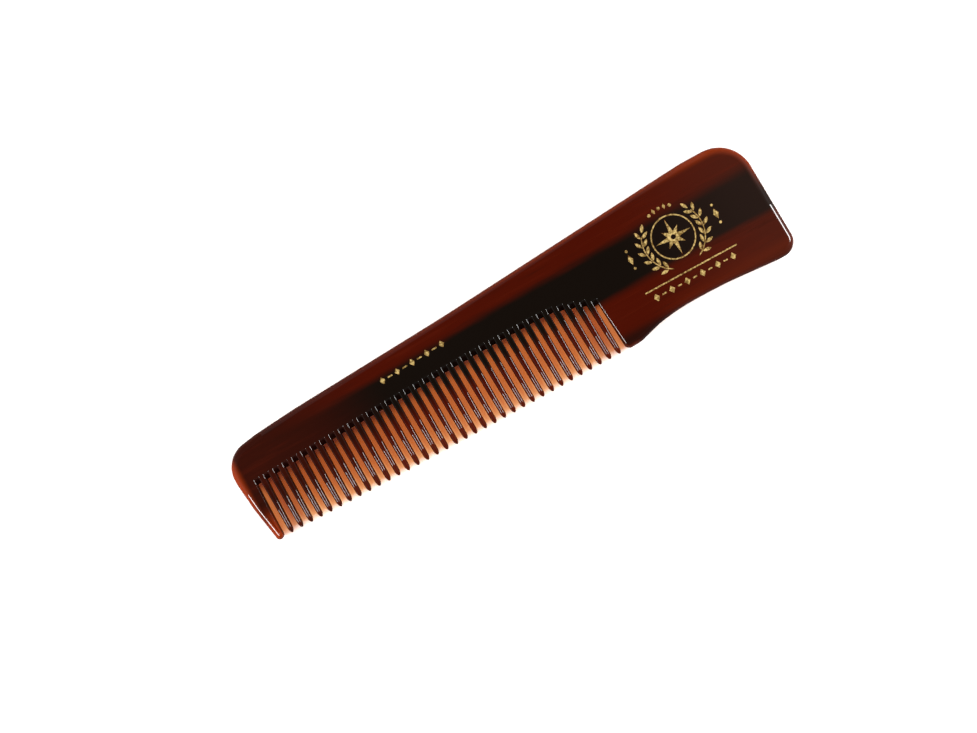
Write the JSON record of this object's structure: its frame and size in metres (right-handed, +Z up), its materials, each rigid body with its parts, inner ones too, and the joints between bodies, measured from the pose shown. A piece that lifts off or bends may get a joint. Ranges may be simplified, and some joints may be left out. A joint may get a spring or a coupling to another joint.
{
  "type": "beard comb",
  "caption": "Flat saw-cut acetate beard comb with a fine row of teeth, an end guard, a broad grip with a finger hollow, and gold foil ornaments.",
  "frame": {"origin": "under the middle of the comb's outline, on the face that it lies on", "axes": "+X along the comb from the end guard to the grip, +Y from the tooth tips to the back, +Z up through the sheet to the face with the gold foil"},
  "size_m": [0.14, 0.0324, 0.004],
  "materials": {
    "acetate": "polished dark tortoiseshell cellulose acetate, red-brown with a black band, amber where thin",
    "gold_foil": "hot-pressed gold foil, slightly worn"
  },
  "bodies": {
    "root": {"spine": "acetate", "handle": "acetate", "end_guard": "acetate", "tooth_01": "acetate", "tooth_02": "acetate", "tooth_03": "acetate", "tooth_04": "acetate", "tooth_05": "acetate", "tooth_06": "acetate", "tooth_07": "acetate", "tooth_08": "acetate", "tooth_09": "acetate", "tooth_10": "acetate", "tooth_11": "acetate", "tooth_12": "acetate", "tooth_13": "acetate", "tooth_14": "acetate", "tooth_15": "acetate", "tooth_16": "acetate", "tooth_17": "acetate", "tooth_18": "acetate", "tooth_19": "acetate", "tooth_20": "acetate", "tooth_21": "acetate", "tooth_22": "acetate", "tooth_23": "acetate", "tooth_24": "acetate", "tooth_25": "acetate", "tooth_26": "acetate", "tooth_27": "acetate", "tooth_28": "acetate", "tooth_29": "acetate", "tooth_30": "acetate", "tooth_31": "acetate", "tooth_32": "acetate", "tooth_33": "acetate", "tooth_34": "acetate", "tooth_35": "acetate", "foil_ring": "gold_foil", "foil_star": "gold_foil", "foil_sprig_left": "gold_foil", "foil_sprig_right": "gold_foil", "foil_arch": "gold_foil", "foil_accents": "gold_foil", "foil_rule": "gold_foil", "foil_lozenge_row": "gold_foil", "foil_spine_row": "gold_foil"}
  },
  "joints": []
}
